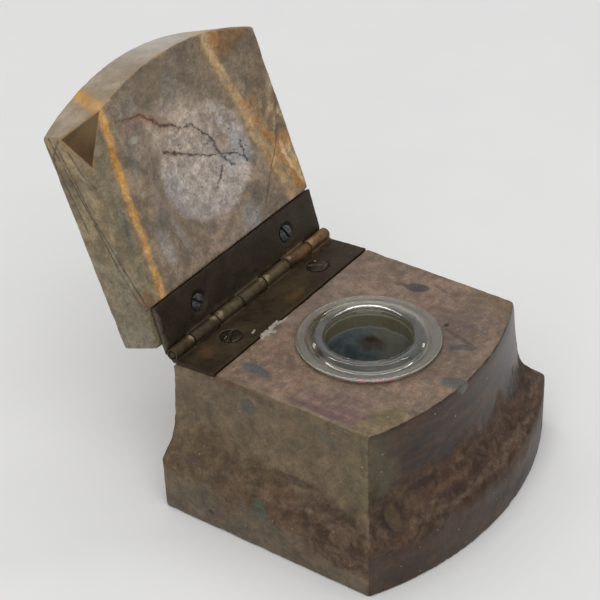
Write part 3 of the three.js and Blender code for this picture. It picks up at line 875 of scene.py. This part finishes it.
def cup_glass():
    """Old pressed glass: clear, with a thin smoky bloom on the flange and a pink ink stain."""
    look = Look("cup_glass")
    haze = look.span(look.z, BASE_TOP - 1.5, BASE_TOP + 0.2, 0.0, 1.0)
    smoky = look.noise(1.6, 4, 0.6, source=look.stretched((0.35, 0.35, 2)))
    cloudy = look.product(haze, look.span(smoky, 0.3, 0.7, 0.03, 0.10))
    clear = look.math("SUBTRACT", 1, cloudy)
    color = look.mix(haze, (0.86, 0.92, 0.89), look.mix(smoky, (0.58, 0.54, 0.43), (0.80, 0.77, 0.66)))
    across = look.vector("MULTIPLY", look.vector("SUBTRACT", look.mm, (*CUP_CENTRE, 0)), (1, 1, 0))
    radius = look.vector("LENGTH", across, output=1)
    stain = look.product(look.span(radius, 16.6, 17.0), look.spot((-14.9, -8.7, 39.7), (6, 6, 3), soft=0.2))
    stain = look.product(stain, look.span(look.noise(1.8, 4, 0.6), 0.40, 0.55))
    color = look.paint(color, (0.42, 0.06, 0.16), stain, 0.8)
    clear = look.blend(look.product(stain, 0.7), clear, 0.1)
    smear = look.span(look.noise(4, 4, 0.6), 0.35, 0.7, 0.02, 0.09)
    return look.set(
        Base_Color=color,
        Roughness=smear,
        IOR=1.5,
        Transmission_Weight=clear,
        Coat_Weight=1.0,
        Coat_Roughness=0.04,
        Coat_IOR=1.6,
        Normal=look.bump(look.noise(3.0, 3, 0.5), 0.2, 0.12),
    )


def ink_film():
    look = Look("ink_film")
    look.bend_places(3, 5)
    clouds = look.span(look.noise(3.2, 5, 0.6, 0.4), 0.3, 0.7)
    color = look.mix(clouds, (0.070, 0.092, 0.104), (0.17, 0.20, 0.20))
    blots = (
        ((9.5, 1.5, 32), (6, 6, 6), 0, (0.26, 0.24, 0.18), 0.7),
        ((8.2, 6.4, 30.6), (3.2, 3.2, 2.4), 0, (0.10, 0.076, 0.050), 0.8),
        ((8.0, 6.6, 31.4), (1.5, 1.5, 0.9), 0, (0.06, 0.038, 0.022), 0.8),
    )
    color = look.spots(color, blots, look.warped, 0.5)
    line = look.math("ADD", look.z, look.sway(4, 5, 0.6, 1.6))
    dry = look.span(line, 35.3, 35.9)
    runs = look.noise(2.0, 5, 0.6, source=look.stretched((1, 1, 0.3)))
    olive = look.mix(runs, (0.10, 0.092, 0.050), (0.21, 0.20, 0.13))
    color = look.mix(dry, color, olive)
    rim = look.product(look.span(line, 34.9, 35.4), look.span(line, 35.9, 35.4))
    color = look.paint(color, (0.30, 0.31, 0.27), rim, 0.7)
    return look.set(Base_Color=color, Roughness=0.4, Normal=look.bump(look.noise(0.8, 5, 0.7), 0.08, 0.6))


def chalky(name, light, dark):
    look = Look(name)
    color = look.mix(look.noise(1.2, 5, 0.7), dark, light)
    return look.set(Base_Color=color, Roughness=0.92, Normal=look.bump(look.noise(0.4, 5, 0.7), 0.1, 0.8))


def plain_wood():
    look = Look("plug_wood")
    grain = look.noise(0.8, 4, 0.6, source=look.stretched((1, 1, 0.15)))
    color = look.mix(grain, (0.16, 0.095, 0.045), (0.36, 0.23, 0.12))
    return look.set(Base_Color=color, Roughness=0.75, Normal=look.bump(grain, 0.05, 0.5))


def give(obj, material):
    obj.data.materials.clear()
    obj.data.materials.append(material)


def dress(node, material):
    """Gives a carried-over CAD node its material."""
    obj = nodes[node]
    for slot in obj.material_slots:
        slot.link = "OBJECT"
        slot.material = material


# ---------------------------------------------------------------- stone
def cove_grit(points, normals):
    """Rough, crusty surface in the cove; the polished walls stay smooth."""
    height = points[:, 2] / MM
    side = np.clip((0.9 - normals[:, 2]) / 0.2, 0, 1)
    band = np.clip((height - 13) / 3, 0, 1) * np.clip((28 - height) / 4, 0, 1) * side
    band *= points[:, 1] < 34.4 * MM
    chosen = band > 0.02
    grit = noise_field(points[chosen], 1.8 * MM, 3, 4)
    lumps = noise_field(points[chosen], 6 * MM, 4, 2)
    depth = (0.12 * grit + 0.14 * lumps - 0.1) * MM * band[chosen]
    points[chosen] += normals[chosen] * depth[:, None]
    pit = np.hypot(points[:, 0] / MM - 14.5, points[:, 1] / MM + 10.3)
    hollow = (pit < 1.2) & (height > 38)
    points[hollow, 2] -= 0.5 * MM * np.clip(1 - pit[hollow] / 0.9, 0, 1) ** 0.5
    return points


def broken_corner(points, normals):
    """Sinks the lid's chipped corner into a shallow, rippled hollow, deepest at one point."""
    a, b, c = (np.array(p) * MM for p in CHIP_POINTS)
    out = np.cross(b - a, c - a)
    out /= np.linalg.norm(out)
    if out @ (np.array(CHIP_CORNER) * MM - a) < 0:
        out = -out
    off = (points - a) @ out
    deepest = a * CHIP_MEETING[0] + b * CHIP_MEETING[1] + c * CHIP_MEETING[2]
    share = np.full(len(points), np.inf)
    bowl = np.ones(len(points))
    for start, end in ((a, b), (b, c), (c, a)):
        inward = np.cross(out, end - start)
        reach = ((points - start) @ inward) / ((deepest - start) @ inward)
        share = np.minimum(share, reach)
        bowl *= np.clip(reach, 0, None)
    share = np.where(share > 0, 0.5 * share + 0.5 * np.clip(bowl, 0, 1) ** 0.6, share)
    sunk = (np.abs(off) < 0.15 * MM) & (share > 0)
    ripples = np.abs(noise_field(points[sunk], 3.0 * MM, 8, 4))
    depth = (CHIP_DEPTH * share[sunk] + 0.25 * ripples * np.clip(share[sunk] * 3, 0, 1)) * MM
    points[sunk] -= out * depth[:, None]
    return points


base = worn_copy("stone_base", "stone_base_body", voxel=0.5 * MM, seed=2, shape=cove_grit)
give(base, base_stone())
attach(base, "base")

lid = worn_copy(
    "stone_lid", "stone_lid_body", voxel=0.45 * MM, matrix=LID_OPEN, seed=5, shape=broken_corner
)
give(lid, lid_stone())
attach(lid, "lid")

# ---------------------------------------------------------------- hinge
def leaf_lips(parity, flip):
    """Strips that bring a leaf's edge close around the other leaf's knuckles."""
    clear = BARREL_RADIUS + 0.13
    rim = [(-clear * math.sin(angle), -clear * math.cos(angle)) for angle in (0.87, 0.68, 0.37, 0)]
    outline = [(-2.4, -0.98), *rim, (0, -2.08), (-2.4, -1.9)]
    strips = []
    for i, (start, end) in enumerate(zip(KNUCKLE_SEAMS, KNUCKLE_SEAMS[1:])):
        if i % 2 == parity:
            continue
        vertices = []
        for x in (start, end):
            for y, z in outline:
                vertices.append((x * MM, HINGE.y + y * MM, HINGE.z + flip * z * MM))
        count = len(outline)
        faces = [tuple(range(count))[::flip], tuple(range(count, 2 * count))[::-flip]]
        for j in range(count):
            k = (j + 1) % count
            faces.append((j, j + count, k + count, k)[::flip])
        strips.append((vertices, faces))
    return strips


def hammered(points, normals):
    """Slight dents so the old metal does not look machined."""
    swell = noise_field(points, 6 * MM, 12, 2) * 0.05 * MM
    return points + normals * swell[:, None]


base_leaf = worn_copy(
    "base_hinge_leaf",
    "base_leaf_body",
    voxel=0.2 * MM,
    wear=0.6,
    seed=6,
    shape=hammered,
    extra=leaf_lips(0, 1),
)
give(base_leaf, old_brass(
    "base_leaf_brass", (0.036, 0.022, 0.012), (0.060, 0.040, 0.021),
    spots=(
        ((5.5, 26.9, 38.5), (3.6, 1.6, 1.5), 0, (0.13, 0.070, 0.022), 0.8),
        ((8.0, 31.0, 38.5), (7, 3.5, 1.5), 0, (0.085, 0.062, 0.028), 0.7),
        ((-20, 30, 38.5), (8, 5, 1.5), 0, (0.085, 0.062, 0.034), 0.6),
        ((-25, 31, 38.5), (2.5, 2, 1.5), 0, (0.12, 0.060, 0.032), 0.7),
        ((14, 36.4, 39.8), (45, 1.9, 1.9), 0, (0.125, 0.096, 0.050), 1.0),
        ((25, 36.4, 39.8), (9, 2.0, 2.0), 0, (0.24, 0.125, 0.055), 1.0),
        # painted highlights on top of the barrel at the knuckle seams, where the brass is also worn bare
        *(((x, 35.9, 40.8), (0.8, 0.9, 0.9), 0, WORN_BRASS_AND_HIGHLIGHT, 0.8) for x in (-25, -13.7, 5.7, 24.7)),
    ),
))
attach(base_leaf, "base")

lid_leaf = worn_copy(
    "lid_hinge_leaf",
    "lid_leaf_body",
    voxel=0.2 * MM,
    matrix=LID_OPEN,
    wear=0.6,
    seed=7,
    shape=hammered,
    extra=leaf_lips(1, -1),
)
give(lid_leaf, old_brass(
    "lid_leaf_brass", (0.036, 0.025, 0.016), (0.054, 0.040, 0.027),
    spots=(
        ((-31.6, 29, 40), (0.8, 9, 3), 0, (0.13, 0.105, 0.082), 0.9),
        ((-4, 36.4, 39.3), (24, 1.9, 1.9), 0, (0.115, 0.088, 0.048), 1.0),
        ((20, 36.4, 39.3), (5, 2.0, 2.0), 0, (0.20, 0.11, 0.045), 1.0),
        # painted highlights on top of the lid's knuckles at their seams, where the brass is also worn bare
        *(((x, 34.8, 38.9), (0.8, 0.9, 0.9), 0, WORN_BRASS_AND_HIGHLIGHT, 0.8) for x in (-15.4, 4.0, 15.2)),
    ),
))
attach(lid_leaf, "lid")


def fill_countersink(points, normals):
    """Widens a flush screw head until it all but touches its hole."""
    for x in SCREW_X:
        dx = points[:, 0] / MM - x
        dy = points[:, 1] / MM - SCREW_Y
        near = (np.hypot(dx, dy) < 3.2) & (points[:, 2] / MM > 37.9)
        points[near, 0] = (x + dx[near] * 1.07) * MM
        points[near, 1] = (SCREW_Y + dy[near] * 1.07) * MM
    return points


steel = screw_steel("lid_screw_steel", (0.15, 0.15, 0.15), (0.035, 0.035, 0.035))
worn_steel = screw_steel("base_screw_steel", (0.064, 0.046, 0.028), (0.030, 0.021, 0.013))
for side in ("left", "right"):
    for owner, material, matrix in (("base", worn_steel, UPRIGHT), ("lid", steel, LID_OPEN)):
        node = f"{owner}_screw_{side}"
        flush = fill_countersink if owner == "base" else None
        screw = worn_copy(
            node, f"{node}_body", voxel=0.12 * MM, matrix=matrix, wear=0.4, seed=9, shape=flush
        )
        give(screw, material)
        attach(screw, owner)

wood = plain_wood()
for owner in ("base", "lid"):
    for side in ("left", "right"):
        dress(f"{owner}_plug_{side}", wood)
dress("hinge_pin", old_brass("pin_brass", (0.05, 0.04, 0.022), (0.1, 0.08, 0.045)))
bedding = chalky("bedding_plaster", (0.62, 0.58, 0.52), (0.34, 0.30, 0.26))
dress("plaster_bedding", bedding)


def crumbs():
    """Old plaster smeared along the leaf's front edge, and a few specks on the leaf."""
    built = bmesh.new()
    for x, y, z, wide, deep, high, seed in (
        (-12.4, 23.3, 39.05, 1.7, 0.9, 0.35, 1), (-11.2, 23.0, 39.0, 1.2, 0.7, 0.3, 2),
        (-9.6, 23.5, 39.05, 1.3, 0.6, 0.3, 3), (-7.8, 23.8, 39.05, 1.4, 0.5, 0.3, 4),
        (-6.6, 23.3, 38.98, 1.0, 0.35, 0.2, 5), (-5.0, 23.0, 38.98, 1.4, 0.3, 0.15, 6),
        (-10.4, 22.0, 38.95, 0.9, 0.4, 0.2, 7), (-13.4, 26.2, 39.0, 0.5, 0.3, 0.15, 8),
        (-12.6, 26.4, 39.0, 0.3, 0.25, 0.12, 9), (-18.3, 30.6, 38.68, 0.7, 0.22, 0.1, 10),
        (20.2, 31.6, 38.62, 0.35, 0.22, 0.1, 11),
    ):
        made = bmesh.ops.create_icosphere(built, subdivisions=4, radius=1)
        for vertex in made["verts"]:
            swell = 1 + 0.55 * noise.fractal(vertex.co * 1.8 + Vector((seed * 5.3, 0, 0)), 1, 2, 4)
            spread = Vector((vertex.co.x * wide, vertex.co.y * deep, vertex.co.z * high)) * swell
            vertex.co = Vector((x, y, z)) * MM + Matrix.Rotation(0.1, 3, "Z") @ spread * MM
    mesh = bpy.data.meshes.new("plaster_crumbs")
    built.to_mesh(mesh)
    built.free()
    mesh.shade_smooth()
    return linked("plaster_crumbs", mesh)


plaster = crumbs()
give(plaster, chalky("crumb_plaster", (0.44, 0.40, 0.33), (0.26, 0.23, 0.18)))
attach(plaster, "base")

# ---------------------------------------------------------------- glass cup
outside = [(0, 13), (10.5, 13), (12.4, 13.5), (13, 15), (13, 27), (13, SEAT - 0.35), (13.35, SEAT)]
flange = [
    (15.2, SEAT),
    (17.1, SEAT),
    (17.45, SEAT + 0.25),
    (17.32, SEAT + 0.62),
    (16.9, SEAT + 0.80),
    (16.3, SEAT + 0.75),
    (15.6, SEAT + 0.62),
    (15.0, SEAT + 0.66),
    (14.4, SEAT + 0.84),
    (13.8, SEAT + 1.12),
    (13.25, SEAT + 1.42),
    (12.75, SEAT + 1.60),
    (12.3, SEAT + 1.60),
    (11.7, SEAT + 1.46),
    (11.15, SEAT + 1.29),
    (10.85, SEAT + 1.10),
    (10.65, SEAT + 0.6),
]
inside = [(10.6, 30), (10.6, 21), (10.0, 18.2), (8.0, 16.3), (4, 15.9), (0, 15.8)]
profile = np.vstack(
    [np.array(outside[:-1]), catmull([outside[-1], *flange, inside[0]], 5)[:-1], catmull(inside, 5)]
)
cup = turned("glass_cup_body", profile, CUP_CENTRE, 160)
give(cup, cup_glass())
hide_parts("glass_ink_cup")
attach(cup, "base")


def dried_ink():
    """A thin skin of dried ink inside the cup, with an uneven upper edge."""
    segments, rows = 128, 40
    wall_share = 0.75               # share of the rows that line the straight wall
    wall_radius = 10.52
    floor_edge = 19                 # height where the wall meets the rounded floor
    vertices = []
    faces = []
    for row in range(rows + 1):
        for i in range(segments):
            angle = 2 * math.pi * i / segments
            ring = Vector((math.cos(angle), math.sin(angle), 0))
            ragged = noise.fractal(ring * 3, 1, 2, 4)
            top = 39.3 + 0.1 * ragged
            share = row / rows
            if share < wall_share:
                height = top + (floor_edge - top) * share / wall_share
                radius = wall_radius
            else:
                turn = (share - wall_share) / (1 - wall_share)
                height = floor_edge - 2.9 * math.sin(turn * math.pi / 2)
                radius = 10.5 - 0.9 * turn - 9.0 * turn**2
            x = CUP_CENTRE[0] + radius * ring.x
            y = CUP_CENTRE[1] + radius * ring.y
            vertices.append((x * MM, y * MM, height * MM))
    for row in range(rows):
        for i in range(segments):
            j = (i + 1) % segments
            a, b = row * segments + i, row * segments + j
            faces.append((a, a + segments, b + segments, b))
    faces.append(tuple(range(rows * segments, (rows + 1) * segments))[::-1])
    return piece_from("dried_ink", vertices, faces)


ink = dried_ink()
shell = ink.modifiers.new("film", "SOLIDIFY")
shell.thickness = 0.08 * MM
shell.offset = 1
give(ink, ink_film())
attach(ink, "base")

# ---------------------------------------------------------------- stage, light and camera
floor_mesh = bpy.data.meshes.new("floor")
floor_mesh.from_pydata([(-3, -3, 0), (3, -3, 0), (3, 3, 0), (-3, 3, 0)], [], [(0, 1, 2, 3)])
floor = linked("floor", floor_mesh)
floor_look = Look("pale_floor")
cloth = floor_look.mix(floor_look.noise(30, 3), (0.82, 0.82, 0.82), (0.86, 0.86, 0.85))
floor_look.set(Base_Color=cloth, Roughness=0.95, Specular_IOR_Level=0.1)
floor_mesh.materials.append(floor_look.material)

world = bpy.data.worlds.new("studio")
bpy.context.scene.world = world
world.use_nodes = True
backdrop = world.node_tree.nodes["Background"]
backdrop.inputs["Color"].default_value = (1, 1, 1, 1)
backdrop.inputs["Strength"].default_value = 0.52


def soft_light(name, place, target, size, power):
    data = bpy.data.lights.new(name, "AREA")
    data.shape = "RECTANGLE"
    data.size, data.size_y = size
    data.energy = power
    light = linked(name, data)
    light.location = place
    light.rotation_euler = (Vector(target) - Vector(place)).to_track_quat("-Z", "Y").to_euler()


soft_light("overhead", (-0.6, -0.4, 1.2), (0, 0, 0.0), (1.3, 1.3), 8.5)
soft_light("strip", (0.41, 0.30, 1.05), (0, 0, 0.04), (1.0, 0.065), 1.8)

camera = bpy.data.cameras.new("camera")
camera.sensor_width = 36
camera.lens = CAMERA_LENS
view = linked("camera", camera)
bpy.context.scene.camera = view
view.location = CAMERA_PLACE
view.rotation_mode = "QUATERNION"
roll = Matrix.Rotation(CAMERA_ROLL, 3, "Z").to_quaternion()
view.rotation_quaternion = CAMERA_AIM.to_track_quat("-Z", "Y") @ roll
camera.clip_start, camera.clip_end = 0.01, 20

bpy.context.scene.view_settings.view_transform = "Standard"
